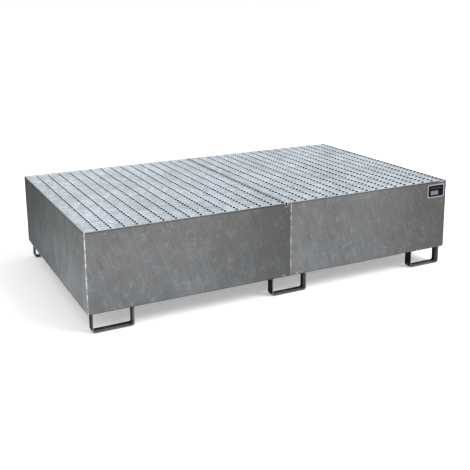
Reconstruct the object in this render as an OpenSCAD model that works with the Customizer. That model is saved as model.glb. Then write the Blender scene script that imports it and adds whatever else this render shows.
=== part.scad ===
// Spill containment pallet: a low steel sump tray on six strap feet, with two lift-out
// gratings lying flush inside its rim.
// Frame: origin on the floor under the middle of the tray, +X along the length to the right,
// +Y to the back, +Z up. Millimetres.

/* [Tray] */
// Length of the tray, outside
tray_l = 2150; // [1500:10:2800]
// Width of the tray, outside
tray_w = 1300; // [1000:10:1600]
// Height of the tray walls
wall_h = 405; // [300:5:500]
// Thickness of the tray sheet
sheet_t = 3; // [2:0.5:5]
// Outside radius of the bends along the bottom
bend_r = 9; // [6:1:20]
// Where the two bent sheets meet, right of the middle
seam_x = 25; // [-100:5:100]
// How far a weld bead stands proud of the sheet
weld_proud = 1.5; // [0.5:0.25:3]
// Radius of a weld bead
weld_r = 3; // [3:0.25:5]

/* [Rim notches] */
// Width of the notch at the joint between the gratings
mid_notch_l = 26; // [15:1:60]
// Depth of the notch at the joint between the gratings
mid_notch_h = 17; // [5:1:25]
// Width of the notch near the right end
end_notch_l = 40; // [15:1:80]
// Depth of the notch near the right end
end_notch_h = 9; // [5:1:25]
// Distance of the end notch from the right end
end_notch_in = 10; // [5:1:60]

/* [Gratings] */
// Height of the load bars
bar_h = 30; // [25:1:40]
// Thickness of the load bars, end bars and edge bars
bar_t = 3; // [2:0.5:5]
// Aimed distance between load bars
load_pitch = 33.3; // [25:0.1:60]
// Aimed distance between cross bars
cross_pitch = 66.7; // [35:0.1:100]
// Height of the cross bars
cross_h = 10; // [6:1:15]
// Thickness of the cross bars
cross_t = 2.5; // [1.5:0.5:4]
// Clearance between a grating and the walls
side_clear = 4; // [1:0.5:6]
// Clearance between the two gratings
mid_clear = 8; // [2:0.5:10]

/* [Supports] */
// Leg of the angles that carry the gratings
ledge_leg = 40; // [30:1:60]
// Thickness of those angles
ledge_t = 4; // [3:0.5:6]
// Width of the middle beam
beam_w = 80; // [60:1:120]
// Height of the middle beam
beam_h = 60; // [40:1:100]
// Wall of the middle beam and its posts
tube_t = 4; // [2:0.5:6]
// Side of the square posts under the beam
post_w = 60; // [40:1:60]
// Distance of each post from the middle
post_y = 215; // [100:5:400]
// Side of the square pad under each post
pad_w = 100; // [80:1:150]
// Thickness of that pad
pad_t = 5; // [3:0.5:8]

/* [Feet] */
// Height of the tray floor above the ground
ground_h = 100; // [80:1:150]
// Outside length of a foot
foot_l = 210; // [150:5:300]
// Width of the foot strap
strap_w = 50; // [30:1:80]
// Thickness of the foot strap
strap_t = 6; // [4:0.5:10]
// Outside radius of the bends in the strap
foot_bend_r = 16; // [12:1:30]
// Distance of the outer feet from the ends of the tray
foot_in_x = 20; // [15:1:100]
// Distance of the feet from the bends under the front and back walls
foot_in_y = 3; // [1:1:80]
// Leg of the weld fillets at the top of each foot
foot_weld = 4; // [2:0.5:6]

/* [Label plate] */
// Length of the plate
label_l = 122; // [80:1:200]
// Height of the plate
label_h = 78; // [50:1:120]
// Radius of its corners
label_r = 9; // [4:1:20]
// Thickness of the plate
label_t = 0.8; // [0.5:0.1:1]
// Width of the plain border round the field
label_border = 6; // [3:1:12]
// Thickness of the field
field_t = 0.3; // [0.2:0.1:0.4]
// Gap between the plate and the right end
label_in = 12; // [8:1:60]
// Gap between the plate and the rim
label_drop = 18; // [12:1:60]

/* [Hidden] */
$fn = 48;
eps = 1;

floor_z = ground_h + sheet_t;
rim_z = ground_h + wall_h;
deck_z = rim_z - bar_h;
in_l = tray_l - 2 * sheet_t;
in_w = tray_w - 2 * sheet_t;
foot_x = tray_l / 2 - foot_in_x - foot_l / 2;
foot_y = tray_w / 2 - bend_r - foot_in_y - strap_w / 2;

grate_l = (in_l - 2 * side_clear - mid_clear) / 2;
grate_w = in_w - 2 * side_clear;
grate_x = (mid_clear + grate_l) / 2;
cross_n = round((grate_l - bar_t) / cross_pitch);
cross_step = (grate_l - bar_t) / cross_n;
load_n = round((grate_w - bar_t) / load_pitch);
load_step = (grate_w - bar_t) / load_n;

zinc = [0.56, 0.57, 0.58];
bright = [0.78, 0.80, 0.82];
dark = [0.20, 0.20, 0.20];

// A channel open at the top, bent from one sheet: its outline in X and Y
module bent_channel(w, h, t, r) {
    difference() {
        round_bottom(w, h, r);
        translate([0, t]) round_bottom(w - 2 * t, h, r - t);
    }
}

module round_bottom(w, h, r) {
    translate([-w / 2, r]) square([w, h - r]);
    translate([-w / 2 + r, 0]) square([w - 2 * r, h]);
    for (s = [-1, 1]) translate([s * (w / 2 - r), r]) circle(r);
}

// Stands an X-Y outline up so that it runs across the tray, from x0 to x1
module along_x(x0, x1) {
    translate([x0, 0, 0]) rotate([90, 0, 90]) linear_extrude(x1 - x0) children();
}

module shell(x0, x1) {
    translate([0, 0, ground_h]) along_x(x0, x1) bent_channel(tray_w, wall_h, sheet_t, bend_r);
}

module rim_notch(x0, l, h) {
    translate([x0, -tray_w / 2 - eps, rim_z - h]) cube([l, sheet_t + 2 * eps, h + eps]);
}

module shell_left() {
    color(zinc) difference() {
        shell(-in_l / 2, seam_x);
        rim_notch(-mid_notch_l / 2, min(mid_notch_l, mid_notch_l / 2 + seam_x - weld_r), mid_notch_h);
    }
}

module shell_right() {
    color(zinc) difference() {
        shell(seam_x, in_l / 2);
        rim_notch(tray_l / 2 - end_notch_in - end_notch_l, end_notch_l, end_notch_h);
    }
}

module end_plate(side) {
    x = side < 0 ? -tray_l / 2 : in_l / 2;
    color(zinc) translate([0, 0, ground_h]) along_x(x, x + sheet_t)
        round_bottom(tray_w, wall_h, bend_r);
}

// Half-round beads over the joint of the two bent sheets: front, back and underneath
module seam_weld() {
    sink = weld_r - weld_proud;
    color(bright) {
        for (s = [-1, 1]) difference() {
            translate([seam_x, s * (tray_w / 2 - sink), ground_h + bend_r])
                cylinder(h = wall_h - bend_r, r = weld_r);
            translate([seam_x - 2 * weld_r, s < 0 ? -tray_w / 2 : 0, ground_h])
                cube([4 * weld_r, tray_w / 2, wall_h + eps]);
        }
        difference() {
            translate([seam_x, tray_w / 2 - bend_r, ground_h + sink])
                rotate([90, 0, 0]) cylinder(h = tray_w - 2 * bend_r, r = weld_r);
            translate([seam_x - 2 * weld_r, -tray_w / 2, ground_h])
                cube([4 * weld_r, tray_w, 2 * weld_r]);
        }
    }
}

// Beads up the four corners and along the bottom of both end plates
module corner_welds() {
    sink = weld_r - weld_proud;
    color(bright) for (sx = [-1, 1]) {
        for (sy = [-1, 1]) difference() {
            translate([sx * (tray_l / 2 - sink), sy * (tray_w / 2 - sink), ground_h + bend_r])
                cylinder(h = wall_h - bend_r, r = weld_r);
            translate([sx < 0 ? -tray_l / 2 : 0, sy < 0 ? -tray_w / 2 : 0, ground_h])
                cube([tray_l / 2, tray_w / 2, wall_h + eps]);
        }
        difference() {
            translate([sx * (tray_l / 2 - sink), tray_w / 2 - bend_r, ground_h + sink])
                rotate([90, 0, 0]) cylinder(h = tray_w - 2 * bend_r, r = weld_r);
            translate([sx < 0 ? -tray_l / 2 : 0, -tray_w / 2, ground_h])
                cube([tray_l / 2, tray_w, wall_h]);
        }
    }
}

// An angle of length l: its flat leg on top, its other leg down the wall behind it.
// The wall is the plane y = 0 and the angle starts at x = 0.
module ledge(l) {
    translate([0, 0, deck_z]) rotate([90, 0, 90]) linear_extrude(l) {
        translate([0, -ledge_t]) square([ledge_leg, ledge_t]);
        translate([0, -ledge_leg]) square([ledge_t, ledge_leg]);
    }
}

module long_ledge(x0, x1, back) {
    color(zinc) if (back) translate([x1, in_w / 2, 0]) rotate(180) ledge(x1 - x0);
    else translate([x0, -in_w / 2, 0]) ledge(x1 - x0);
}

module end_ledge(side) {
    l = in_w - 2 * ledge_leg;
    color(zinc) translate([side * in_l / 2, -side * l / 2, 0]) rotate(side * 90) ledge(l);
}

module center_beam() {
    color(zinc) translate([-beam_w / 2, -in_w / 2, deck_z - beam_h]) difference() {
        cube([beam_w, in_w, beam_h]);
        translate([tube_t, -eps, tube_t])
            cube([beam_w - 2 * tube_t, in_w + 2 * eps, beam_h - 2 * tube_t]);
    }
}

module beam_post(side) {
    h = deck_z - beam_h - floor_z - pad_t;
    color(zinc) translate([0, side * post_y, floor_z + pad_t]) difference() {
        translate([-post_w / 2, -post_w / 2, 0]) cube([post_w, post_w, h]);
        translate([-post_w / 2 + tube_t, -post_w / 2 + tube_t, -eps])
            cube([post_w - 2 * tube_t, post_w - 2 * tube_t, h + 2 * eps]);
    }
}

module post_pads() {
    color(zinc) for (s = [-1, 1]) translate([-pad_w / 2, s * post_y - pad_w / 2, floor_z])
        cube([pad_w, pad_w, pad_t]);
}

// A flat strap bent into a U, with both ends welded under the tray floor
module foot(x, y) {
    color(dark) translate([x, y + strap_w / 2, 0]) rotate([90, 0, 0]) linear_extrude(strap_w)
        bent_channel(foot_l, ground_h, strap_t, foot_bend_r);
}

// Fillets on both faces of each strap end, under the tray floor
module foot_welds() {
    color(bright) for (x = [-foot_x, seam_x, foot_x], y = [-foot_y, foot_y], s = [-1, 1])
        translate([x + s * (foot_l - strap_t) / 2, y + strap_w / 2, ground_h])
            rotate([90, 0, 0]) linear_extrude(strap_w) for (m = [-1, 1])
                polygon([[m * strap_t / 2, 0], [m * (strap_t / 2 + foot_weld), 0],
                         [m * strap_t / 2, -foot_weld]]);
}

// A plate standing on the front wall, with round corners
module rounded_plate(l, h, r, t, back_y) {
    translate([0, back_y, 0]) rotate([90, 0, 0]) linear_extrude(t) {
        translate([-l / 2 + r, -h / 2]) square([l - 2 * r, h]);
        translate([-l / 2, -h / 2 + r]) square([l, h - 2 * r]);
        for (sx = [-1, 1], sy = [-1, 1])
            translate([sx * (l / 2 - r), sy * (h / 2 - r)]) circle(r);
    }
}

module at_label() {
    translate([tray_l / 2 - label_in - label_l / 2, -tray_w / 2,
               rim_z - label_drop - label_h / 2]) children();
}

module label_plate() {
    color(bright) at_label() rounded_plate(label_l, label_h, label_r, label_t, 0);
}

module label_field() {
    color("black") at_label() rounded_plate(label_l - 2 * label_border,
        label_h - 2 * label_border, label_r - label_border / 2, field_t, -label_t);
}

// One load bar from edge bar to edge bar, with a slot in its top for every cross bar
module load_bar() {
    l = grate_l - 2 * bar_t;
    rotate([90, 0, 0]) linear_extrude(bar_t, center = true) difference() {
        translate([-l / 2, deck_z]) square([l, bar_h]);
        for (i = [1 : cross_n - 1])
            translate([cross_x(i) - cross_t / 2, rim_z - cross_h]) square([cross_t, cross_h + eps]);
    }
}

function cross_x(i) = (i - cross_n / 2) * cross_step;
function load_y(j) = (j - load_n / 2) * load_step;

module load_bars(side) {
    color(bright) for (j = [1 : load_n - 1])
        translate([side * grate_x, load_y(j), 0]) load_bar();
}

module cross_bars(side) {
    color(bright) for (i = [1 : cross_n - 1])
        translate([side * grate_x + cross_x(i) - cross_t / 2, -grate_w / 2 + bar_t,
                   rim_z - cross_h]) cube([cross_t, grate_w - 2 * bar_t, cross_h]);
}

// The two flat bars that close the ends of the load bars
module end_bars(side) {
    color(bright) for (s = [-1, 1])
        translate([side * grate_x + s * (grate_l - bar_t) / 2 - bar_t / 2, -grate_w / 2, deck_z])
            cube([bar_t, grate_w, bar_h]);
}

// The front and back bars, between the end bars
module edge_bars(side) {
    color(bright) for (s = [-1, 1])
        translate([side * grate_x - grate_l / 2 + bar_t, s * (grate_w - bar_t) / 2 - bar_t / 2,
                   deck_z]) cube([grate_l - 2 * bar_t, bar_t, bar_h]);
}

shell_left();
shell_right();
end_plate(-1);  // end_plate_left
end_plate(1);  // end_plate_right
seam_weld();
corner_welds();
end_ledge(-1);  // ledge_left
end_ledge(1);  // ledge_right
long_ledge(-in_l / 2, -beam_w / 2, false);  // ledge_front_left
long_ledge(beam_w / 2, in_l / 2, false);  // ledge_front_right
long_ledge(-in_l / 2, -beam_w / 2, true);  // ledge_back_left
long_ledge(beam_w / 2, in_l / 2, true);  // ledge_back_right
center_beam();
beam_post(-1);  // beam_post_front
beam_post(1);  // beam_post_back
post_pads();
foot(-foot_x, -foot_y);  // foot_front_left
foot(seam_x, -foot_y);  // foot_front_middle
foot(foot_x, -foot_y);  // foot_front_right
foot(-foot_x, foot_y);  // foot_back_left
foot(seam_x, foot_y);  // foot_back_middle
foot(foot_x, foot_y);  // foot_back_right
foot_welds();
label_plate();
label_field();
load_bars(-1);  // grating_left_load_bars
cross_bars(-1);  // grating_left_cross_bars
end_bars(-1);  // grating_left_end_bars
edge_bars(-1);  // grating_left_edge_bars
load_bars(1);  // grating_right_load_bars
cross_bars(1);  // grating_right_cross_bars
end_bars(1);  // grating_right_end_bars
edge_bars(1);  // grating_right_edge_bars
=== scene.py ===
"""The looks of a galvanised spill containment pallet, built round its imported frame.

Everything is in metres, in the frame's own coordinates: +X along the tray to the right,
+Y to the back, +Z up, with the floor at z = 0.
"""

import math
import random

import bmesh
import bpy
from bpy.props import FloatProperty, FloatVectorProperty, IntProperty, PointerProperty
from mathutils import Matrix, Vector, noise


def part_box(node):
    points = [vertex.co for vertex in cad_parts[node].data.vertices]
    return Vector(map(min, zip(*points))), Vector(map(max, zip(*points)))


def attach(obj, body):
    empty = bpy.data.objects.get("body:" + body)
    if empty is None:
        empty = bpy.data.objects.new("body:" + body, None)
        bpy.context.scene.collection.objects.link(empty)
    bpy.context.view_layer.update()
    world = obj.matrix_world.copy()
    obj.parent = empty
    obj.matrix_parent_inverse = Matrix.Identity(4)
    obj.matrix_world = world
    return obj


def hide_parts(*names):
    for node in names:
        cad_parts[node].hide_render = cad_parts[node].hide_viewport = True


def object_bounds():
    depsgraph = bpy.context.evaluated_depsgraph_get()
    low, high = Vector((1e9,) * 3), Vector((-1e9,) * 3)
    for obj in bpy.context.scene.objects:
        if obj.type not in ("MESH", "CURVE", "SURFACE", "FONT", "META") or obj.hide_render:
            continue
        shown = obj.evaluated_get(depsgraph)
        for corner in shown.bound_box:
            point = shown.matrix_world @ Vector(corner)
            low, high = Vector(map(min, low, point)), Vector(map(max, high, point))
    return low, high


bl_info = {
    "name": "Spill containment pallet",
    "version": (1, 0, 0),
    "blender": (4, 5, 0),
    "location": "View3D > Sidebar > Pallet",
    "description": "Builds the sheets, welds, feet, gratings and finishes of a sump pallet",
    "category": "Object",
}

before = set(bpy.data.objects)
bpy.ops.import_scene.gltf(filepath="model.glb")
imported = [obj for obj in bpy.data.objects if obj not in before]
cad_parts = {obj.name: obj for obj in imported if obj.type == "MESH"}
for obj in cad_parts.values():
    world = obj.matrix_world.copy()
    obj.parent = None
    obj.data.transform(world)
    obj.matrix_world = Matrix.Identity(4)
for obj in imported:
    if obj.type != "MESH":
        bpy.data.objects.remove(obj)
CAD_LOW, CAD_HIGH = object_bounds()
LEFT_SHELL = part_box("shell_left")
RIGHT_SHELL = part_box("shell_right")
LEFT_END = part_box("end_plate_left")
RIGHT_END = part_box("end_plate_right")
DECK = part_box("grating_left_end_bars")
RIM = LEFT_SHELL[1].z
TRAY_FLOOR = LEFT_SHELL[0].z
FEET = [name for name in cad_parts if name.startswith("foot_") and name != "foot_welds"]
GRATINGS = ("grating_left", "grating_right")


def mm(value):
    return value / 1000


def size(name, text, default):
    return FloatProperty(name=name, description=text, default=default, unit="LENGTH")


def angle(name, text, degrees):
    return FloatProperty(
        name=name, description=text, default=math.radians(degrees), subtype="ANGLE"
    )


def number(name, text, default):
    return FloatProperty(name=name, description=text, default=default)


def colour(name, text, default):
    return FloatVectorProperty(
        name=name, description=text, default=default, subtype="COLOR", min=0, max=1
    )


class TraySizes(bpy.types.PropertyGroup):
    """Sizes of the sheets that the frame's boxes don't give."""

    sheet: size("Sheet", "Thickness of the tray sheet", LEFT_END[1].x - LEFT_END[0].x)
    bend: size("Bend", "Outside radius of the bends along the bottom", mm(9))
    bow: size("Bow", "How far a wall bulges between its welds", mm(1.2))
    wave: size("Wave", "Height of the slow waves in the sheet", mm(0.9))
    rounding: size("Rounding", "Rounding of the sheet's cut edges", mm(0.6))
    mid_notch_length: size("Middle notch length", "Notch under the gratings' joint", mm(26))
    mid_notch_depth: size("Middle notch depth", "Depth of that notch", mm(17))
    end_notch_length: size("End notch length", "Notch near the right end", mm(40))
    end_notch_depth: size("End notch depth", "Depth of that notch", mm(9))
    end_notch_inset: size("End notch inset", "From the right end to that notch", mm(10))


class WeldSizes(bpy.types.PropertyGroup):
    """Sizes of the weld beads and of the zinc that ran and set."""

    radius: size("Bead radius", "Radius of a weld bead", mm(3))
    proud: size("Proud", "How far a bead stands out of the sheet", mm(1.5))
    pitch: size("Ripple pitch", "Distance between the ripples of a bead", mm(6))
    sway: size("Sway", "How far a bead wanders from its line", mm(0.5))
    fillet: size("Fillet", "Radius of the beads on the feet and the posts", mm(3))
    stitch_radius: size("Stitch radius", "Radius of a stitch weld", mm(2.5))
    stitch: size("Stitch", "Length of one stitch weld under the ledges", mm(45))
    stitch_gap: size("Stitch gap", "Distance between stitch welds", mm(190))
    drips: IntProperty(name="Drips", description="Zinc drips along a long wall", default=16)
    drip_depth: size("Drip depth", "How far a zinc drip stands out", mm(1.1))


class FootSizes(bpy.types.PropertyGroup):
    """Sizes of the strap feet that the frame's boxes don't give."""

    strap: size("Strap", "Thickness of the strap", mm(6))
    bend: size("Bend", "Outside radius of the strap's bends", mm(16))
    edge: size("Edge", "Rounding of the strap's rolled edges", mm(1.2))


class GratingSizes(bpy.types.PropertyGroup):
    """Sizes of the gratings that the frame's boxes don't give."""

    bar: size("Bar", "Thickness of the load bars", mm(3))
    cross_pitch: size("Cross pitch", "Nominal distance between the cross bars", mm(66.7))
    load_pitch: size("Load pitch", "Nominal distance between the load bars", mm(33.3))
    # The joint width is that of a painted shadow beside each pressed joint.
    joint: size("Joint", "Width of the dark zinc beside a pressed joint", mm(8))


class PlateSizes(bpy.types.PropertyGroup):
    """Sizes of the plate on the front wall."""

    corner: size("Corner", "Radius of the plate's corners", mm(9))
    border: size("Border", "Width of the plain border", mm(6))
    sunk: size("Sunk", "How far the plate reaches into the wall", mm(2.2))
    mark: size("Mark", "How far the panel and the line stand out", mm(0.12))


class Finishes(bpy.types.PropertyGroup):
    """Base colours of the finishes."""

    front: colour("Front sheet", "Dull zinc of the long walls", (0.128, 0.1285, 0.129))
    front_warm: colour("Front sheet far", "Its brownish right part", (0.134, 0.130, 0.122))
    front_cool: colour("Front sheet low", "Its bluish patches", (0.130, 0.141, 0.149))
    end: colour("End sheet", "Dull zinc of the end walls", (0.182, 0.185, 0.184))
    end_cool: colour("End sheet low", "Its bluish patches", (0.192, 0.216, 0.232))
    haze: colour("Haze", "Pale runs and patches on the walls", (0.30, 0.325, 0.35))
    fleck: colour("Flecks", "White zinc on the walls", (0.48, 0.495, 0.51))
    inside: colour("Inside", "Dull zinc of the hidden supports", (0.23, 0.235, 0.24))
    # Partly the zinc of the cut edges, partly a painted highlight along the rim.
    edge: colour("Sheet edge", "Bright zinc on the cut edges", (0.74, 0.76, 0.78))
    bar: colour("Bars", "Bright bluish zinc of the gratings", (0.70, 0.775, 0.845))
    bar_warm: colour("Bars' patches", "Greyer patches of the gratings", (0.69, 0.74, 0.78))
    bar_fleck: colour("Bars' flecks", "White zinc on the gratings", (0.88, 0.91, 0.94))
    crown: colour("Bar tops", "Rubbed tops of the cross bars", (0.80, 0.86, 0.92))
    # Painted shade: near-black for the bar sides that face along the tray.
    shade: colour("Bar sides", "Dull sides of the cross bars", (0.008, 0.010, 0.014))
    # Painted shade on the outer faces of the bars round a grating, by the walls.
    banding: colour("Banding", "Outer faces of the bars round a grating", (0.26, 0.28, 0.30))
    weld: colour("Welds", "Rough zinc of the left corner beads", (0.50, 0.52, 0.54))
    # Painted shade: the right corner beads, the same welds as the bright left ones, made
    # near-black.
    tint: colour("Heat tint", "Dull beads of the right corners", (0.07, 0.075, 0.08))
    seam: colour("Seam", "Zinc of the seam bead and the stitches", (0.46, 0.47, 0.48))
    # Painted shade: the strap made near-black for the shade under the tray.
    strap: colour("Strap", "Dark strap steel", (0.008, 0.008, 0.0075))
    # Painted light on the outer half of the strap's inside.
    strap_lit_half: colour("Strap inside", "Strap inside the loop, by the wall", (0.11, 0.11, 0.106))
    strap_edge: colour("Strap edge", "Rolled edges of the strap", (0.14, 0.14, 0.13))
    scuff: colour("Scuffs", "Pale scuffs on the strap's edges", (0.18, 0.18, 0.17))
    plate: colour("Plate", "Metal of the plate", (0.30, 0.305, 0.31))
    field: colour("Field", "Dark field of the plate", (0.006, 0.006, 0.008))
    dust: colour("Dust", "Pale specks on that field", (0.2, 0.2, 0.2))
    mark: colour("Marks", "Blank writing panel and line", (0.13, 0.15, 0.18))
    floor: colour("Floor", "Pale studio floor", (0.76, 0.76, 0.76))


class StageSettings(bpy.types.PropertyGroup):
    """Camera and light."""

    azimuth: angle("Azimuth", "Camera's side", -26.39)
    elevation: angle("Elevation", "Camera's rise", 16.43)
    distance: size("Distance", "From the middle of the tray to the camera", 4.533)
    heading: angle("Heading", "Turn of the view", 27.17)
    dip: angle("Dip", "Fall of the view", 12.31)
    roll: angle("Roll", "Lean of the view", -0.42)
    lens: number("Lens", "Focal length in mm", 57.59)
    shift_x: number("Shift X", "Sideways lens shift", -0.0128)
    shift_y: number("Shift Y", "Upward lens shift", -0.15)
    sky: number("Sky", "Strength of the even light", 1.0)
    key: number("Key", "Strength of the key light", 2.0)
    softness: angle("Softness", "Width of the key light", 32)
    glow: number("Glow", "Strength of the floor's own light", 0.34)
    reach: size("Reach", "From the middle of the floor to its sides", 400.0)


def settings():
    return bpy.context.scene.pallet


# Shader node helpers


def wire(tree, value, socket):
    """Links a socket into another, or sets it to a plain value."""
    if isinstance(value, bpy.types.NodeSocket):
        tree.links.new(value, socket)
    else:
        socket.default_value = value


def add_node(tree, kind, inputs, output=0, **choices):
    """Adds a shader node with its inputs and its choices, and gives one of its outputs."""
    node = tree.nodes.new(f"ShaderNode{kind}")
    for name, value in choices.items():
        setattr(node, name, value)
    for name, value in inputs.items():
        wire(tree, value, node.inputs[name])
    return node.outputs[output]


def calc(tree, operation, *values, clamp=False):
    return add_node(tree, "Math", dict(enumerate(values)), operation=operation, use_clamp=clamp)


def times(tree, a, b):
    return calc(tree, "MULTIPLY", a, b)


def swing(tree, value, width):
    """Turns a value from 0 to 1 into a swing of the given width round zero."""
    return times(tree, calc(tree, "SUBTRACT", value, 0.5), width)


def ramp(tree, value, low, high, to_low=0.0, to_high=1.0):
    """Maps value from low..high to to_low..to_high with soft ends."""
    values = dict(enumerate((value, low, high, to_low, to_high)))
    return add_node(tree, "MapRange", values, interpolation_type="SMOOTHSTEP")


def blend(tree, factor, a, b):
    """Mixes two colours, each a socket or three plain numbers."""
    a, b = (c if isinstance(c, bpy.types.NodeSocket) else (*c, 1) for c in (a, b))
    return add_node(tree, "Mix", {"Factor": factor, 6: a, 7: b}, 2, data_type="RGBA")


def stretched(tree, vector, grain_size, turn=(0, 0, 0)):
    """A position measured in grains of the given size in metres, turned first."""
    values = {"Vector": vector, "Scale": grain_size, "Rotation": turn}
    return add_node(tree, "Mapping", values, vector_type="TEXTURE")


def grain(tree, vector, scale, detail=3.0, rough=0.55):
    values = {"Vector": vector, "Scale": scale, "Detail": detail, "Roughness": rough}
    return add_node(tree, "TexNoise", values)


def cells(tree, vector, scale, output="Distance"):
    return add_node(tree, "TexVoronoi", {"Vector": vector, "Scale": scale}, output)


def axis(tree, vector, name):
    return add_node(tree, "SeparateXYZ", {0: vector}, name)


def new_group(name, outputs, **inputs):
    """An empty shader node group. A position and numbers go in, and numbers come out."""
    tree = bpy.data.node_groups.new(name, "ShaderNodeTree")

    def socket(label, way, kind="NodeSocketFloat"):
        return tree.interface.new_socket(label, in_out=way, socket_type=kind)

    socket("Vector", "INPUT", "NodeSocketVector")
    for label, default in inputs.items():
        socket(label, "INPUT").default_value = default
    for label in outputs:
        socket(label, "OUTPUT")
    source = tree.nodes.new("NodeGroupInput").outputs
    target = tree.nodes.new("NodeGroupOutput").inputs
    return tree, source, target


def zinc_skin():
    """Clouds, crystals and fine grain of a galvanised surface."""
    outputs = ("Tone", "Cool", "Roughness", "Height")
    tree, source, target = new_group("zinc_skin", outputs, Crystals=85.0)
    vector = source["Vector"]
    clouds = grain(tree, vector, 4.5, 5.0, 0.6)
    crystals = axis(tree, cells(tree, vector, source["Crystals"], "Color"), "X")
    fine = grain(tree, vector, 420.0, 2.0)
    tone = calc(tree, "ADD", ramp(tree, clouds, 0.3, 0.7, 0.91, 1.09), swing(tree, crystals, 0.10))
    wire(tree, calc(tree, "ADD", tone, swing(tree, fine, 0.12)), target["Tone"])
    wire(tree, ramp(tree, grain(tree, vector, 11.0, 4.0), 0.38, 0.62), target["Cool"])
    wire(tree, ramp(tree, crystals, 0.0, 1.0, 0.42, 0.58), target["Roughness"])
    wire(tree, calc(tree, "ADD", fine, times(tree, clouds, 0.6)), target["Height"])
    return tree


def run_marks():
    """Streaks where zinc and water ran down a wall, leaning as the sheet hung in the bath."""
    tree, source, target = new_group("run_marks", ("Tone", "Pale"), Amount=1.0, Lean=0.0)
    turn = add_node(tree, "CombineXYZ", {"Y": source["Lean"]})

    def streaks(width, length, detail):
        spot = stretched(tree, source["Vector"], (width, width, length), turn)
        return grain(tree, spot, 1.0, detail)

    sway = calc(tree, "ADD", swing(tree, streaks(0.05, 0.6, 3.0), 0.4),
                swing(tree, streaks(0.009, 0.14, 2.0), 0.75))
    wire(tree, calc(tree, "MULTIPLY_ADD", sway, source["Amount"], 1.0), target["Tone"])
    patch = ramp(tree, grain(tree, source["Vector"], 6.0, 2.0), 0.45, 0.62)
    pale = times(tree, ramp(tree, streaks(0.009, 0.11, 2.0), 0.58, 0.7), patch)
    wire(tree, calc(tree, "MULTIPLY", pale, source["Amount"], clamp=True), target["Pale"])
    return tree


def white_flecks():
    """Spots of white zinc, soft pale patches and thin curled scratches."""
    tree, source, target = new_group("white_flecks", ("Mask", "Haze"), Density=0.5)
    vector = source["Vector"]
    cluster = ramp(tree, grain(tree, vector, 3.2, 2.0), 0.42, 0.66, 0.35, 2.0)
    density = times(tree, source["Density"], cluster)
    curl = calc(tree, "ABSOLUTE", swing(tree, grain(tree, vector, 12.0, 2.0), 1.0))
    where = ramp(tree, grain(tree, vector, 5.5, 2.0), 0.57, 0.66)
    thin = times(tree, ramp(tree, curl, 0.004, 0.014, 1.0, 0.0), where)
    mask = times(tree, thin, 0.05)
    for grain_size, reach in (((0.07, 0.07, 0.11), 0.03), ((0.02, 0.02, 0.028), 0.095)):
        spots = stretched(tree, vector, grain_size)
        near = ramp(tree, cells(tree, spots, 1.0), reach * 0.6, reach * 1.1, 1.0, 0.0)
        chance = axis(tree, cells(tree, spots, 1.0, "Color"), "Y")
        spot = times(tree, near, calc(tree, "LESS_THAN", chance, density))
        mask = calc(tree, "MAXIMUM", mask, spot)
    wire(tree, mask, target["Mask"])
    wire(tree, ramp(tree, grain(tree, vector, 27.0, 4.0), 0.5, 0.78), target["Haze"])
    return tree


def painted_wall_shade():
    """Painted shade on a wall: its tone falls from one end of a panel to the other, with darker
    lines along its bottom edge and just under its rim.
    """
    outputs = ("Tone", "Low", "Far")
    tree, source, target = new_group("painted_wall_shade", outputs, Start=0.0, End=1.0, Last=1.0, Rim=1.0)
    wobble = swing(tree, grain(tree, source["Vector"], 2.0), 0.3)
    place = calc(tree, "ADD", axis(tree, source["Vector"], "X"), wobble)
    # Painted shade: the fall in tone along the panel.
    fade = ramp(tree, place, source["Start"], source["End"], 1.0, source["Last"])
    height = axis(tree, source["Vector"], "Z")
    foot = ramp(tree, height, TRAY_FLOOR, TRAY_FLOOR + mm(11), 0.5, 1.0)
    under_rim = ramp(tree, height, RIM - mm(12), RIM - mm(4), 1.0, source["Rim"])
    wire(tree, times(tree, fade, times(tree, foot, under_rim)), target["Tone"])
    wire(tree, ramp(tree, height, TRAY_FLOOR, RIM, 1.0, 0.0), target["Low"])
    wire(tree, ramp(tree, place, source["Start"], source["End"]), target["Far"])
    return tree


def edge_rub():
    """Scratches and scuffs on strap steel, up to a height: a mask of bare spots."""
    tree, source, target = new_group("edge_rub", ("Mask", "Height"), Limit=0.02)
    scuff = grain(tree, stretched(tree, source["Vector"], (0.03, 0.008, 0.03)), 1.0, 5.0, 0.7)
    low = ramp(tree, axis(tree, source["Vector"], "Z"), 0.0, source["Limit"], 1.0, 0.25)
    wire(tree, times(tree, ramp(tree, scuff, 0.5, 0.66), low), target["Mask"])
    wire(tree, scuff, target["Height"])
    return tree


GROUPS = {
    "zinc_skin": zinc_skin,
    "run_marks": run_marks,
    "white_flecks": white_flecks,
    "painted_wall_shade": painted_wall_shade,
    "edge_rub": edge_rub,
}


def position(tree, turn=0.0):
    """The object's own position, turned about the upright axis."""
    where = add_node(tree, "TexCoord", {}, "Object")
    return stretched(tree, where, (1, 1, 1), (0, 0, turn)) if turn else where


def placed(tree, name, turn=0.0, **values):
    """Puts one of the shared groups into a material, fed with the position on the object."""
    node = tree.nodes.new("ShaderNodeGroup")
    node.node_tree = bpy.data.node_groups.get(name) or GROUPS[name]()
    wire(tree, position(tree, turn), node.inputs["Vector"])
    for label, value in values.items():
        node.inputs[label].default_value = value
    return node.outputs


def toned(tree, base, *tones):
    """A base colour darkened and lightened by every tone that varies over the surface."""
    tone = tones[0]
    for other in tones[1:]:
        tone = times(tree, tone, other)
    return add_node(tree, "VectorMath", {0: base, "Scale": tone}, operation="SCALE")


def facing(tree, name):
    """How far the surface faces along X, Y or Z."""
    return axis(tree, add_node(tree, "NewGeometry", {}, "Normal"), name)


def faces_along(tree):
    """A mask of the faces that look to one end of the tray."""
    return ramp(tree, calc(tree, "ABSOLUTE", facing(tree, "X")), 0.3, 0.7)


def material(name, metallic=0.0, gloss=0.5):
    made = bpy.data.materials.new(name)
    made.use_nodes = True
    shader = made.node_tree.nodes["Principled BSDF"].inputs
    shader["Metallic"].default_value = metallic
    shader["Specular IOR Level"].default_value = gloss
    return made, made.node_tree


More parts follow.
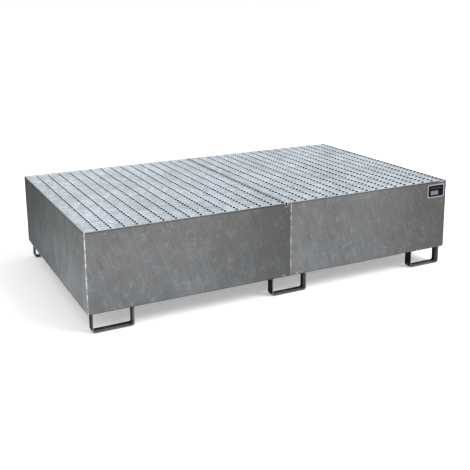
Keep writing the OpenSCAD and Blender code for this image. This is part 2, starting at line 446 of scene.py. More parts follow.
def coat(made, body, skin, height=None, strength=0.0, distance=0.0):
    """Gives a material its colour, the roughness of its skin and any bumps, and returns it."""
    tree = made.node_tree
    shader = tree.nodes["Principled BSDF"].inputs
    wire(tree, body, shader["Base Color"])
    wire(tree, skin["Roughness"], shader["Roughness"])
    if height:
        values = {"Strength": strength, "Distance": distance, "Height": height}
        wire(tree, add_node(tree, "Bump", values), shader["Normal"])
    return made


def sheet_finish(colours, name, base, warm, cool, span, last, rim, streaks, lean, flecks, gloss,
                 turn=0.0, rise=0.0):
    """Dull galvanised sheet with streaks, clouds and white flecks, with painted shade falling
    along the wall, and painted light low down and painted shade high up as far as rise says.
    """
    made, tree = material(name, metallic=gloss / 2, gloss=gloss)
    skin = placed(tree, "zinc_skin")
    runs = placed(tree, "run_marks", turn, Amount=streaks, Lean=lean)
    fade = placed(tree, "painted_wall_shade", turn, Start=span[0], End=span[1], Last=last, Rim=rim)
    spots = placed(tree, "white_flecks", Density=flecks)
    # Painted light low on the wall, painted shade high on it.
    low = calc(tree, "MULTIPLY_ADD", fade["Low"], 2 * rise, 1 - rise)
    tones = (skin["Tone"], runs["Tone"], fade["Tone"], low)
    bluish = times(tree, skin["Cool"], ramp(tree, fade["Low"], 0.0, 1.0, 0.15, 1.0))
    body = blend(tree, fade["Far"], toned(tree, base, *tones), toned(tree, warm, *tones))
    body = blend(tree, bluish, body, toned(tree, cool, *tones))
    haze = times(tree, calc(tree, "MAXIMUM", runs["Pale"], spots["Haze"]), 0.24)
    body = blend(tree, haze, body, toned(tree, colours.haze, fade["Tone"]))
    body = blend(tree, spots["Mask"], body, toned(tree, colours.fleck, fade["Tone"]))
    return coat(made, body, skin, skin["Height"], 0.12, mm(0.4))


def front_finish(colours, side):
    """A long wall: even from the shell's left end to its middle, then slowly darker in painted
    shade.
    """
    start, end = (corner.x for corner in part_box(f"shell_{side}"))
    return sheet_finish(
        colours, f"front_sheet_{side}", colours.front, colours.front_warm, colours.front_cool,
        span=(start + (end - start) * 0.4, end + mm(40)), last=0.55, rim=0.6,
        streaks=0.6, lean=math.radians(-20), flecks=0.42, gloss=0.2,
    )


def end_finish(colours):
    """An end wall: darker to the back and to the rim, in painted shade."""
    half = LEFT_SHELL[1].y
    return sheet_finish(
        colours, "end_sheet", colours.end, colours.end, colours.end_cool,
        span=(-half * 0.9, half), last=0.5, rim=0.4, streaks=0.95, lean=math.radians(3),
        flecks=0.65, gloss=0.0, turn=math.pi / 2, rise=0.2,
    )


def inside_finish(colours):
    """The hidden supports, without a fade."""
    return sheet_finish(
        colours, "support_zinc", colours.inside, colours.inside, colours.inside,
        span=(CAD_HIGH.x + 1, CAD_HIGH.x + 2), last=1.0, rim=1.0, streaks=0.4, lean=0.0,
        flecks=0.15, gloss=0.4,
    )


def plain_finish(name, base, crystals, metallic=0.0, gloss=0.5):
    """One colour with only the grain and the crystals of zinc or paint."""
    made, tree = material(name, metallic, gloss)
    skin = placed(tree, "zinc_skin", Crystals=crystals)
    return coat(made, toned(tree, base, skin["Tone"]), skin)


def bar_zinc(tree, colours):
    """Bright zinc with pale and grey blotches: its colour, the near-black colour of its painted
    shade, and its skin.
    """
    skin = placed(tree, "zinc_skin", Crystals=55.0)
    spots = placed(tree, "white_flecks", Density=0.35)
    blotch = grain(tree, position(tree), 22.0, 5.0, 0.7)
    tones = (skin["Tone"], ramp(tree, blotch, 0.36, 0.64, 0.88, 1.10))
    body = blend(tree, skin["Cool"], toned(tree, colours.bar_warm, *tones),
                 toned(tree, colours.bar, *tones))
    body = blend(tree, spots["Mask"], body, colours.bar_fleck)
    return body, toned(tree, colours.shade, skin["Tone"]), skin


def before_bar(tree, name, start, length, pitch):
    """Distance along X or Y from a point on to the next bar of a grating."""
    span = length - settings().gratings.bar
    step = span / round(span / pitch)
    along = calc(tree, "SUBTRACT", axis(tree, position(tree), name), start)
    left = calc(tree, "SUBTRACT", 1.0, calc(tree, "FRACT", calc(tree, "DIVIDE", along, step)))
    return times(tree, left, step)


def painted_joint_shadow(tree):
    """A painted shadow to the left of each cross bar, where the joint was pressed."""
    s = settings().gratings
    first = [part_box(f"{name}_end_bars")[0].x + s.bar / 2 for name in GRATINGS]
    right = calc(tree, "GREATER_THAN", axis(tree, position(tree), "X"), 0.0)
    start = calc(tree, "MULTIPLY_ADD", right, first[1] - first[0], first[0])
    before = before_bar(tree, "X", start, DECK[1].x - DECK[0].x, s.cross_pitch)
    return ramp(tree, before, s.joint * 0.7, s.joint * 1.1, 1.0, 0.0)


def painted_cell_shadow(tree):
    """Painted shadow on the back half of each cross bar's side between two load bars."""
    s = settings().gratings
    low = DECK[0].y + s.bar / 2
    before = before_bar(tree, "Y", low, DECK[1].y - DECK[0].y, s.load_pitch)
    return ramp(tree, before, s.load_pitch * 0.4, s.load_pitch * 0.55, 1.0, 0.0)


def bar_finish(colours):
    """Bright zinc of the grating bars, with a painted shadow beside the pressed joints."""
    made, tree = material("bar_zinc", metallic=0.2)
    body, shade, skin = bar_zinc(tree, colours)
    upright = ramp(tree, facing(tree, "Z"), 0.3, 0.7, 1.0, 0.0)
    body = blend(tree, times(tree, painted_joint_shadow(tree), upright), body, shade)
    return coat(made, body, skin, skin["Height"], 0.2, mm(0.3))


def cross_bar_finish(colours):
    """Bars across: bright on top, with painted shade on the back half of their pressed sides
    between two load bars.
    """
    made, tree = material("cross_bar_zinc", gloss=0.2)
    body, shade, skin = bar_zinc(tree, colours)
    crown = toned(tree, colours.crown, skin["Tone"])
    body = blend(tree, ramp(tree, facing(tree, "Z"), 0.5, 0.9), body, crown)
    # Painted shadow on the sides that face along the tray.
    dark = times(tree, faces_along(tree), painted_cell_shadow(tree))
    return coat(made, blend(tree, dark, body, shade), skin)


def banding_finish(colours):
    """Bars round a grating: painted shade on their outer sides, and near-black painted shade where
    they face along the tray.
    """
    made, tree = material("banding_zinc", gloss=0.2)
    body, shade, skin = bar_zinc(tree, colours)
    outward = times(tree, facing(tree, "Y"), axis(tree, position(tree), "Y"))
    outer = toned(tree, colours.banding, skin["Tone"])
    body = blend(tree, ramp(tree, outward, 0.1, 0.3), body, outer)
    return coat(made, blend(tree, faces_along(tree), body, shade), skin)


def bead_zinc(name, base):
    """Rough zinc over a weld, bright in patches."""
    made, tree = material(name, metallic=0.2)
    skin = placed(tree, "zinc_skin", Crystals=260.0)
    patch = ramp(tree, grain(tree, position(tree), 48.0, 3.0), 0.42, 0.58, 0.5, 1.15)
    body = toned(tree, base, skin["Tone"], patch)
    return coat(made, body, skin, skin["Height"], 0.4, mm(0.5))


def strap_finish(colours, name, near):
    """Rolled strap steel, near-black in painted shade, scuffed near the floor, with the near
    colour on its outer half by the wall, which is painted light on the strap's inside.
    """
    made, tree = material(name, gloss=0.03)
    skin = placed(tree, "zinc_skin", Crystals=60.0)
    rub = placed(tree, "edge_rub", Limit=0.03)
    low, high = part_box(FEET[-1])
    middle = abs(low.y + high.y) / 2
    out = calc(tree, "ABSOLUTE", axis(tree, position(tree), "Y"))
    # The outer half takes the near colour: painted light on the strap's inside.
    outer = ramp(tree, out, middle - mm(8), middle + mm(8))
    body = blend(tree, outer, toned(tree, colours.strap, skin["Tone"]),
                 toned(tree, near, skin["Tone"]))
    body = blend(tree, rub["Mask"], body, colours.strap_edge)
    return coat(made, body, skin, rub["Height"], 0.25, mm(0.4))


def strap_edge_finish(colours):
    """Rolled edges of the strap, with pale scuffs."""
    made, tree = material("strap_edge", gloss=0.1)
    rub = placed(tree, "edge_rub", Limit=0.2)
    skin = placed(tree, "zinc_skin", Crystals=60.0)
    body = toned(tree, colours.strap_edge, skin["Tone"])
    return coat(made, blend(tree, rub["Mask"], body, colours.scuff), skin)


def field_finish(colours):
    """Dark field of the plate, a little dusty."""
    made, tree = material("plate_field", gloss=0.03)
    spots = placed(tree, "white_flecks", Density=0.2)
    skin = placed(tree, "zinc_skin", Crystals=200.0)
    body = toned(tree, colours.field, skin["Tone"])
    return coat(made, blend(tree, times(tree, spots["Mask"], 0.3), body, colours.dust), skin)


def floor_finish(colours):
    """Pale floor, lit a little from within so that it stays even."""
    made, tree = material("studio_floor", gloss=0.0)
    skin = placed(tree, "zinc_skin", Crystals=3.0)
    even = ramp(tree, skin["Tone"], 0.8, 1.2, 0.985, 1.0)
    shader = tree.nodes["Principled BSDF"].inputs
    wire(tree, toned(tree, colours.floor, even), shader["Base Color"])
    shader["Roughness"].default_value = 0.85
    shader["Emission Color"].default_value = (1, 1, 1, 1)
    shader["Emission Strength"].default_value = settings().stage.glow
    return made


FINISHES = {
    "front_left": lambda c: front_finish(c, "left"),
    "front_right": lambda c: front_finish(c, "right"),
    "end": end_finish,
    "inside": inside_finish,
    # The cut edges, bright partly as a painted highlight along the rim.
    "edge": lambda c: plain_finish("sheet_edge", c.edge, 160.0, metallic=0.3),
    "bar": bar_finish,
    "cross_bar": cross_bar_finish,
    "banding": banding_finish,
    "weld": lambda c: bead_zinc("weld_zinc", c.weld),
    "seam": lambda c: bead_zinc("seam_zinc", c.seam),
    "tint": lambda c: bead_zinc("shaded_bead_zinc", c.tint),
    "strap": lambda c: strap_finish(c, "strap_steel", c.strap),
    "strap_inside": lambda c: strap_finish(c, "strap_inside", c.strap_lit_half),
    "strap_edge": strap_edge_finish,
    "plate": lambda c: plain_finish("plate_metal", c.plate, 300.0, metallic=0.3),
    "field": field_finish,
    "marks": lambda c: plain_finish("plate_marks", c.mark, 200.0, gloss=0.2),
    "floor": floor_finish,
}
made_finishes = {}


def finish(name):
    """One of the pallet's finishes, made the first time that it is asked for."""
    if name not in made_finishes:
        made_finishes[name] = FINISHES[name](settings().finishes)
    return made_finishes[name]


# Mesh helpers


def add_piece(name, points, faces, *finishes, smooth=True):
    mesh = bpy.data.meshes.new(name)
    mesh.from_pydata(points, [], faces)
    for entry in finishes:
        mesh.materials.append(finish(entry))
    tidy = bmesh.new()
    tidy.from_mesh(mesh)
    bmesh.ops.recalc_face_normals(tidy, faces=tidy.faces)
    tidy.to_mesh(mesh)
    tidy.free()
    if smooth:
        mesh.shade_smooth()
    else:
        mesh.shade_flat()
    piece = bpy.data.objects.new(name, mesh)
    bpy.context.scene.collection.objects.link(piece)
    return piece


def hand_over(piece, slot, *nodes):
    """Ties a piece to the tray, in place of the CAD nodes that it stands for. The slot is not
    used.
    """
    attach(piece, "tray")
    if nodes:
        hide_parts(*nodes)


def thicken(piece, thickness, rounding, far_side=0):
    """Gives a thin surface its thickness, with its cut edges rounded and in the second finish.
    Its far side has the finish with the number given."""
    solid = piece.modifiers.new("thickness", "SOLIDIFY")
    solid.thickness = thickness
    solid.offset = 0
    solid.use_even_offset = True
    solid.material_offset = far_side
    solid.material_offset_rim = 1
    edge = piece.modifiers.new("edges", "BEVEL")
    edge.width = rounding
    edge.segments = 2
    edge.limit_method = "ANGLE"
    edge.angle_limit = math.radians(50)
    edge.harden_normals = True


def stations(start, end, step, *extra):
    """Places from start to end about a step apart, with the extra ones hit exactly."""
    count = max(1, round((end - start) / step))
    even = [start + (end - start) * i / count for i in range(count + 1)]
    fixed = [start, end, *extra]
    clear = [x for x in even if all(abs(x - y) > step / 4 for y in fixed)]
    return sorted({round(x, 6) for x in clear + fixed})


def soft_step(value):
    value = min(1.0, max(0.0, value))
    return value * value * (3 - 2 * value)


def grid_faces(columns, rows, cut=None):
    """Faces of a grid whose points run row by row, leaving out the ones that cut(i, j) names."""
    corners = (0, 1, columns + 1, columns)
    return [
        tuple(j * columns + i + corner for corner in corners)
        for j in range(rows - 1)
        for i in range(columns - 1)
        if not (cut and cut(i, j))
    ]


def ring_faces(rings, sides):
    """Faces between closed rings of points that follow each other, with both ends shut."""
    around = [
        (start + k, start + (k + 1) % sides, start + sides + (k + 1) % sides, start + sides + k)
        for start in range(0, (rings - 1) * sides, sides)
        for k in range(sides)
    ]
    return around + [tuple(range(sides)), tuple(range((rings - 1) * sides, rings * sides))]


def tube(centres, radii, sides=10):
    """A closed tube through the centres, with its own radius at each: points and faces."""
    ahead = (centres[-1] - centres[0]).normalized()
    across = ahead.orthogonal().normalized()
    up = ahead.cross(across)
    turns = [math.tau * k / sides for k in range(sides)]
    points = [
        centre + radius * (math.cos(a) * across + math.sin(a) * up)
        for centre, radius in zip(centres, radii)
        for a in turns
    ]
    return points, ring_faces(len(centres), sides)


def gather(parts):
    """Joins several (points, faces) pairs into one."""
    points, faces = [], []
    for some_points, some_faces in parts:
        start = len(points)
        points += some_points
        faces += [tuple(start + k for k in face) for face in some_faces]
    return points, faces


def bead(start, end, radius, seed, broken=0.0):
    """One weld bead from start to end: overlapping ripples, a little uneven, with round ends."""
    noise.seed_set(42)
    welds = settings().welds
    length = (end - start).length
    per_ripple, dip = 4, 0.14
    count = max(6, round(length / welds.pitch * per_ripple))
    shift = Vector((seed * 7.3, seed * 3.1, seed * 1.7))
    centres, radii = [], []
    for k in range(count + 1):
        t = k / count
        along = t * length
        ripple = 1 - dip + dip * abs(math.sin(math.pi * along / welds.pitch))
        swell = noise.noise(Vector((along * 22, 0, 0)) + shift)
        thin = 1 - broken * max(0.0, swell) * 1.6
        ends = math.sqrt(max(0.05, min(1.0, along / radius, (1 - t) * length / radius)))
        sway = noise.noise_vector(Vector((along * 60, 3, 0)) + shift) * welds.sway
        centres.append(start.lerp(end, t) + sway)
        radii.append(radius * ripple * thin * ends)
    return tube(centres, radii)


def lay(name, beads, zinc, *nodes):
    """Joins beads into one piece of the tray, in place of the CAD nodes named."""
    hand_over(add_piece(name, *gather(beads), zinc), "weld_zinc", *nodes)


# Pieces


def bulge(t, held, spot):
    """How far a sheet stands off its flat shape, for t from 0 to 1 along it: a bow and slow
    waves, held flat near the welds at its ends."""
    tray = settings().tray
    free = soft_step(t / held) * soft_step((1 - t) / held)
    return free * (tray.bow * 0.5 * math.sin(math.pi * t) + tray.wave * noise.noise(spot))


def shell_section(sheet, bend):
    """The middle line of a shell's section: points down the front wall, along the floor and up
    the back wall, each with its outward direction."""
    half = LEFT_SHELL[1].y - sheet / 2
    low = TRAY_FLOOR + sheet / 2
    radius = bend - sheet / 2
    notches = (RIM - settings().tray.mid_notch_depth, RIM - settings().tray.end_notch_depth)
    heights = stations(low + radius, RIM, mm(32), *notches)
    spans = stations(-half + radius, half - radius, mm(40))
    turns = [math.pi / 2 * k / 6 for k in range(1, 6)]
    front = [((-half, z), (-1, 0)) for z in reversed(heights)]
    bend_in = [((-half + radius - radius * math.cos(a), low + radius - radius * math.sin(a)),
                (-math.cos(a), -math.sin(a))) for a in turns]
    base = [((y, low), (0, -1)) for y in spans]
    mirrored = [((-y, z), (-out_y, out_z)) for (y, z), (out_y, out_z) in front + bend_in]
    return front + bend_in + base + mirrored[::-1]


def shell_piece(side, notch_start, notch_end, notch_depth, seed):
    """One bent sheet of the tray with a notch in its front rim."""
    tray = settings().tray
    section = shell_section(tray.sheet, tray.bend)
    start, end = (corner.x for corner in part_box(f"shell_{side}"))
    places = stations(start, end, mm(40), notch_start, notch_end)
    points = []
    for (y, z), (out_y, out_z) in section:
        on_wall = 1.0 if abs(out_y) > 0.5 else 0.3
        for x in places:
            spot = Vector((x * 3.1, y * 3.1, z * 4.3)) + seed
            off = bulge((x - start) / (end - start), 0.06, spot) * on_wall
            points.append((x, y + out_y * off, z + out_z * off))

    def in_notch(i, j):
        middle = (places[i] + places[i + 1]) / 2
        y, height = section[j + 1][0]
        return notch_start < middle < notch_end and y < 0 and height > RIM - notch_depth - mm(0.1)

    faces = grid_faces(len(places), len(section), in_notch)
    piece = add_piece(f"tray_sheet_{side}", points, faces, f"front_{side}", "edge")
    thicken(piece, tray.sheet, tray.rounding)
    hand_over(piece, "tray_zinc", f"shell_{side}")


class PALLET_OT_shells(bpy.types.Operator):
    """Builds the two bent sheets of the tray, with their rim notches"""

    bl_idname = "pallet.shells"
    bl_label = "Tray shells"

    def execute(self, context):
        tray = settings().tray
        joint = (DECK[1].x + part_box("grating_right_end_bars")[0].x) / 2
        half = tray.mid_notch_length / 2
        shell_piece("left", joint - half, joint + half, tray.mid_notch_depth, Vector((2, 5, 1)))
        stop = RIGHT_END[1].x - tray.end_notch_inset
        shell_piece("right", stop - tray.end_notch_length, stop, tray.end_notch_depth,
                    Vector((9, 1, 4)))
        return {"FINISHED"}


def round_corner(y, z, half, low, radius):
    """Pulls a point of a square grid onto the round bottom corner of an end plate."""
    over = abs(y) - (half - radius)
    under = low + radius - z
    if over <= 0 or under <= 0:
        return y, z
    pull = max(over, under) / math.hypot(over, under)
    return math.copysign(half - radius + over * pull, y), low + radius - under * pull


def end_plate_piece(side, seed):
    """One end plate, a sheet with round bottom corners."""
    tray = settings().tray
    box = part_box(f"end_plate_{side}")
    half, low = box[1].y, box[0].z
    inner = half - tray.bend
    near = half - tray.bend / 3
    across = stations(-half, half, mm(50), -near, -inner, inner, near)
    heights = stations(low, RIM, mm(36), low + tray.bend / 3, low + tray.bend)
    middle = (box[0].x + box[1].x) / 2
    out = math.copysign(1, middle)
    points = []
    for z in heights:
        for y in across:
            spot = Vector((0, y * 3.3, z * 4.1)) + seed
            off = bulge((y + half) / (2 * half), 0.05, spot)
            points.append((middle + out * off, *round_corner(y, z, half, low, tray.bend)))
    faces = grid_faces(len(across), len(heights))
    piece = add_piece(f"end_sheet_{side}", points, faces, "end", "edge")
    thicken(piece, tray.sheet, tray.rounding)
    hand_over(piece, "tray_zinc", f"end_plate_{side}")


class PALLET_OT_end_plates(bpy.types.Operator):
    """Builds the two end plates"""

    bl_idname = "pallet.end_plates"
    bl_label = "End plates"

    def execute(self, context):
        end_plate_piece("left", Vector((3, 1, 2)))
        end_plate_piece("right", Vector((8, 1, 2)))
        return {"FINISHED"}


class PALLET_OT_seam_bead(bpy.types.Operator):
    """Lays the broken bead over the joint of the two shells: front, back and underneath"""

    bl_idname = "pallet.seam_bead"
    bl_label = "Seam bead"

    def execute(self, context):
        s = settings()
        sink = s.welds.radius - s.welds.proud
        x = LEFT_SHELL[1].x
        face = LEFT_SHELL[1].y - sink
        start = TRAY_FLOOR + s.tray.bend
        end = LEFT_SHELL[1].y - s.tray.bend
        lines = [(Vector((x, y, start)), Vector((x, y, RIM - mm(1)))) for y in (-face, face)]
        lines.append((Vector((x, -end, TRAY_FLOOR + sink)), Vector((x, end, TRAY_FLOOR + sink))))
        beads = [bead(*line, s.welds.radius, seed, broken=0.45)
                 for seed, line in enumerate(lines, 1)]
        lay("seam_bead", beads, "seam", "seam_weld")
        return {"FINISHED"}


class PALLET_OT_corner_beads(bpy.types.Operator):
    """Lays the beads up the four corners and along the bottom of both end plates"""

    bl_idname = "pallet.corner_beads"
    bl_label = "Corner beads"

    def execute(self, context):
        s = settings()
        sink = s.welds.radius - s.welds.proud
        end_x = RIGHT_END[1].x - sink
        face = LEFT_SHELL[1].y - sink
        low = TRAY_FLOOR + s.tray.bend
        reach = LEFT_SHELL[1].y - s.tray.bend
        # The right corner beads take the painted shade finish.
        for side, x, zinc, seed in (("left", -end_x, "weld", 11), ("right", end_x, "tint", 14)):
            beads = [bead(Vector((x, y, low)), Vector((x, y, RIM - mm(1))), s.welds.radius,
                          seed + k, broken=0.25) for k, y in enumerate((-face, face))]
            nodes = ["corner_welds"] if side == "left" else []
            lay(f"corner_beads_{side}", beads, zinc, *nodes)
        z = TRAY_FLOOR + sink
        beads = [bead(Vector((x, -reach, z)), Vector((x, reach, z)), s.welds.radius, seed=17,
                      broken=0.3) for x in (-end_x, end_x)]
        lay("bottom_beads", beads, "seam")
        return {"FINISHED"}


class PALLET_OT_foot_beads(bpy.types.Operator):
    """Lays a fillet on both faces of every strap end"""

    bl_idname = "pallet.foot_beads"
    bl_label = "Foot beads"

    def execute(self, context):
        s = settings()
        clear, z = mm(1.2), TRAY_FLOOR - s.welds.proud
        beads = []
        for name in FEET:
            low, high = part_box(name)
            inset = s.feet.strap + clear
            for x in (low.x - clear, low.x + inset, high.x - inset, high.x + clear):
                start, end = Vector((x, low.y + mm(1), z)), Vector((x, high.y - mm(1), z))
                beads.append(bead(start, end, s.welds.fillet, seed=len(beads) + 31))
        lay("foot_beads", beads, "weld", "foot_welds")
        return {"FINISHED"}


class PALLET_OT_stitch_welds(bpy.types.Operator):
    """Lays short stitch welds under the ledges, and beads round the feet of the posts"""

    bl_idname = "pallet.stitch_welds"
    bl_label = "Stitch welds"

    def execute(self, context):
        welds = settings().welds
        stitch = Vector((welds.stitch, 0, 0))
        front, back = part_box("ledge_front_left"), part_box("ledge_back_left")
        lines = []
        for y in (front[0].y + mm(1), back[1].y - mm(1)):
            x = LEFT_SHELL[0].x + welds.stitch
            while x < RIGHT_SHELL[1].x - 2 * welds.stitch:
                start = Vector((x, y, front[0].z))
                lines.append((start, start + stitch, welds.stitch_radius))
                x += welds.stitch_gap
        for post in ("beam_post_front", "beam_post_back"):
            low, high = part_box(post)
            sides = [((x, low.y), (x, high.y)) for x in (low.x, high.x)]
            sides += [((low.x, y), (high.x, y)) for y in (low.y, high.y)]
            for start, end in sides:
                lines.append((Vector((*start, low.z)), Vector((*end, low.z)), welds.fillet))
        beads = [bead(*line, seed) for seed, line in enumerate(lines, 61)]
        lay("stitch_welds", beads, "seam")
        return {"FINISHED"}


def drop(centre, width, height, depth):
    """A flat teardrop of set zinc: points and faces."""
    shape = bmesh.new()
    bmesh.ops.create_icosphere(shape, subdivisions=2, radius=1)
    points = []
    for x, y, z in (v.co for v in shape.verts):
        narrow = 1 - 0.55 * max(0.0, z)
        points.append(centre + Vector((x * width * narrow, y * depth, z * height)))
    faces = [tuple(v.index for v in face.verts) for face in shape.faces]
    shape.free()
    return points, faces


class PALLET_OT_zinc_drips(bpy.types.Operator):
    """Sets zinc drips along the bottom of the long walls, most of them over the feet"""

    bl_idname = "pallet.zinc_drips"
    bl_label = "Zinc drips"

    def execute(self, context):
        s = settings()
        rng = random.Random(42)
        face = LEFT_SHELL[1].y
        feet_x = [sum(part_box(name), Vector()).x / 2 for name in FEET]
        near_foot, clear = mm(90), mm(30)
        drops = []
        for y in (-face, face):
            for k in range(s.welds.drips):
                if k % 3 < 2:
                    x = rng.choice(feet_x) + rng.uniform(-near_foot, near_foot)
                else:
                    x = rng.uniform(LEFT_SHELL[0].x + clear, RIGHT_SHELL[1].x - clear)
                height = mm(rng.uniform(1.5, 5))
                spot = Vector((x, y, TRAY_FLOOR + s.tray.bend * 0.8 + height))
                drops.append(drop(spot, mm(rng.uniform(1.5, 3.5)), height, s.welds.drip_depth))
        lay("zinc_drips", drops, "seam")
        return {"FINISHED"}


def strap_foot(node):
    """A strap bent into a U: its middle line as a surface, thickened."""
    foot = settings().feet
    low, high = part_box(node)
    radius = foot.bend - foot.strap / 2
    half = (high.x - low.x) / 2 - foot.strap / 2
    centre = (low.x + high.x) / 2
    base = foot.strap / 2
    inner, above = -half + radius, base + radius
    turns = [math.pi / 2 * k / 8 for k in range(1, 8)]
    line = [(-half, high.z - (high.z - above) * k / 4) for k in range(5)]
    line += [(inner - radius * math.cos(a), above - radius * math.sin(a)) for a in turns]
    line += [(inner + (half - radius) * k / 4, base) for k in range(5)]
    line += [(-x, z) for x, z in reversed(line[:-1])]
    across = stations(low.y, high.y, mm(12))
    points = [(centre + x, y, z) for x, z in line for y in across]
    piece = add_piece(node.replace("foot", "strap"), points,
                      grid_faces(len(across), len(line)), "strap", "strap_edge", "strap_inside")
    thicken(piece, foot.strap, foot.edge, far_side=2)
    hand_over(piece, "foot_steel", node)


class PALLET_OT_feet(bpy.types.Operator):
    """Builds the six strap feet"""

    bl_idname = "pallet.feet"
    bl_label = "Strap feet"

    def execute(self, context):
        for node in FEET:
            strap_foot(node)
        return {"FINISHED"}


def rounded_outline(length, height, radius, count):
    """Points round a rectangle with round corners, centred on the origin."""
    points = []
    for quarter, (sx, sz) in enumerate(((1, 1), (-1, 1), (-1, -1), (1, -1))):
        for k in range(count + 1):
            a = math.pi / 2 * (quarter + k / count)
            points.append((sx * (length / 2 - radius) + radius * math.cos(a),
                           sz * (height / 2 - radius) + radius * math.sin(a)))
    return points


def slab(centre, length, height, corner, back, front, rounding, count=8):
    """A slab from back to front that faces -Y, with round corners and a rounded front edge."""
    outline = rounded_outline(length, height, corner, count)
    longest = max(abs(x) for x, z in outline)
    rings = [(1.0, back), (1.0, front + rounding), (1 - rounding / longest, front)]
    points = [Vector((centre.x + x * k, y, centre.z + z * k)) for k, y in rings
              for x, z in outline]
    return points, ring_faces(len(rings), len(outline))


class PALLET_OT_name_plate(bpy.types.Operator):
    """Builds the plate on the front wall: border, dark field, blank panel and a plain line"""

    bl_idname = "pallet.name_plate"
    bl_label = "Name plate"

    def execute(self, context):
        plate = settings().plate
        low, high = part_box("label_plate")
        field_low, field_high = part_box("label_field")
        centre = (low + high) / 2
        body = slab(centre, high.x - low.x, high.z - low.z, plate.corner,
                    back=high.y + plate.sunk, front=low.y, rounding=mm(0.4))
        piece = add_piece("plate_body", *body, "plate", smooth=False)
        hand_over(piece, "label_metal", "label_plate")
        length, height = field_high.x - field_low.x, field_high.z - field_low.z
        field = slab(centre, length, height, plate.corner - plate.border / 2,
                     back=field_high.y + mm(0.1), front=field_low.y, rounding=mm(0.15))
        piece = add_piece("plate_field", *field, "field", smooth=False)
        hand_over(piece, "label_dark", "label_field")
        # The blank panel and the line, as shares of the field.
        marks = []
        for across, up, wide, tall in ((-0.10, -0.16, 0.50, 0.36), (0.0, 0.26, 0.7, 0.03)):
            spot = centre + Vector((across * length, 0, up * height))
            marks.append(slab(spot, wide * length, tall * height, corner=mm(1.1),
                              back=field_low.y + mm(0.05), front=field_low.y - plate.mark,
                              rounding=mm(0.05), count=3))
        piece = add_piece("plate_marks", *gather(marks), "marks", smooth=False)
        hand_over(piece, "label_dark")
        return {"FINISHED"}


def refinish(node, name):
    """Gives a CAD node one of the pallet's finishes."""
    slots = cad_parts[node].data.materials
    slots.clear()
    slots.append(finish(name))


class PALLET_OT_gratings(bpy.types.Operator):
    """Finishes the bars of both gratings"""

    bl_idname = "pallet.gratings"
    bl_label = "Gratings"

    def execute(self, context):
        for grating in GRATINGS:
            refinish(f"{grating}_load_bars", "bar")
            refinish(f"{grating}_cross_bars", "cross_bar")
            for part in ("edge_bars", "end_bars"):
                refinish(f"{grating}_{part}", "banding")
        return {"FINISHED"}


class PALLET_OT_supports(bpy.types.Operator):
    """Finishes the ledges, the beam, its posts and their pads"""

    bl_idname = "pallet.supports"
    bl_label = "Supports"

    def execute(self, context):
        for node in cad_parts:
            if node.startswith(("ledge_", "center_beam", "beam_post", "post_pads")):
                refinish(node, "inside")
        return {"FINISHED"}


def aim(heading, rise):
    """A direction that is turned from +Y towards +X, then tilted up."""
    flat = math.cos(rise)
    return Vector((math.sin(heading) * flat, math.cos(heading) * flat, math.sin(rise)))


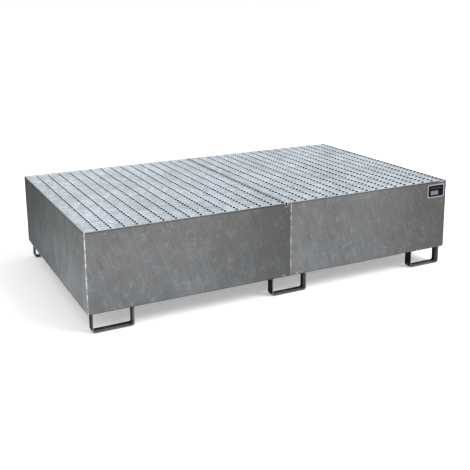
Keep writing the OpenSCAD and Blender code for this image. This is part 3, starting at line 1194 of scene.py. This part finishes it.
class PALLET_OT_stage(bpy.types.Operator):
    """Lays the floor and sets the light and the camera"""

    bl_idname = "pallet.stage"
    bl_label = "Stage"

    def execute(self, context):
        stage = settings().stage
        centre = Vector((0, 0, (CAD_LOW.z + CAD_HIGH.z) / 2))
        corners = [(x * stage.reach, y * stage.reach, 0)
                   for x, y in ((-1, -1), (1, -1), (1, 1), (-1, 1))]
        add_piece("studio_floor", corners, [(0, 1, 2, 3)], "floor")
        world = bpy.data.worlds.new("even_light")
        context.scene.world = world
        world.use_nodes = True
        background = world.node_tree.nodes["Background"].inputs
        background["Color"].default_value = (1, 1, 1, 1)
        background["Strength"].default_value = stage.sky
        sun = bpy.data.lights.new("key", "SUN")
        sun.energy = stage.key
        sun.angle = stage.softness
        key = bpy.data.objects.new("key", sun)
        key.rotation_mode = "QUATERNION"
        key.rotation_quaternion = Vector((0.55, -0.45, 0.70)).to_track_quat("Z", "Y")
        context.scene.collection.objects.link(key)
        context.scene.view_settings.view_transform = "Standard"
        data = bpy.data.cameras.new("front_camera")
        data.sensor_width = 36
        data.lens = stage.lens
        data.shift_x, data.shift_y = stage.shift_x, stage.shift_y
        data.clip_end = 1000
        camera = bpy.data.objects.new("front_camera", data)
        camera.location = centre + stage.distance * aim(math.pi - stage.azimuth, stage.elevation)
        look = aim(stage.heading, -stage.dip).to_track_quat("-Z", "Y").to_matrix()
        camera.rotation_euler = (look @ Matrix.Rotation(stage.roll, 3, "Z")).to_euler()
        context.scene.collection.objects.link(camera)
        context.scene.camera = camera
        return {"FINISHED"}


STEPS = (
    PALLET_OT_stage, PALLET_OT_shells, PALLET_OT_end_plates, PALLET_OT_seam_bead,
    PALLET_OT_corner_beads, PALLET_OT_foot_beads, PALLET_OT_stitch_welds, PALLET_OT_zinc_drips,
    PALLET_OT_feet, PALLET_OT_name_plate, PALLET_OT_gratings, PALLET_OT_supports,
)


class PalletSettings(bpy.types.PropertyGroup):
    """Everything that can be set on the pallet."""

    tray: PointerProperty(type=TraySizes)
    welds: PointerProperty(type=WeldSizes)
    feet: PointerProperty(type=FootSizes)
    gratings: PointerProperty(type=GratingSizes)
    plate: PointerProperty(type=PlateSizes)
    finishes: PointerProperty(type=Finishes)
    stage: PointerProperty(type=StageSettings)


class PALLET_PT_sidebar(bpy.types.Panel):
    """Lists the steps that build the pallet"""

    bl_label = "Spill containment pallet"
    bl_idname = "PALLET_PT_sidebar"
    bl_space_type = "VIEW_3D"
    bl_region_type = "UI"
    bl_category = "Pallet"

    def draw(self, context):
        for step in STEPS:
            self.layout.operator(step.bl_idname)


CLASSES = (
    TraySizes, WeldSizes, FootSizes, GratingSizes, PlateSizes, Finishes, StageSettings,
    PalletSettings, *STEPS, PALLET_PT_sidebar,
)


def register():
    for entry in CLASSES:
        bpy.utils.register_class(entry)
    bpy.types.Scene.pallet = PointerProperty(type=PalletSettings)


def unregister():
    del bpy.types.Scene.pallet
    for entry in reversed(CLASSES):
        bpy.utils.unregister_class(entry)


def main():
    register()
    for step in STEPS:
        group, name = step.bl_idname.split(".")
        getattr(getattr(bpy.ops, group), name)()


if __name__ == "__main__":
    main()
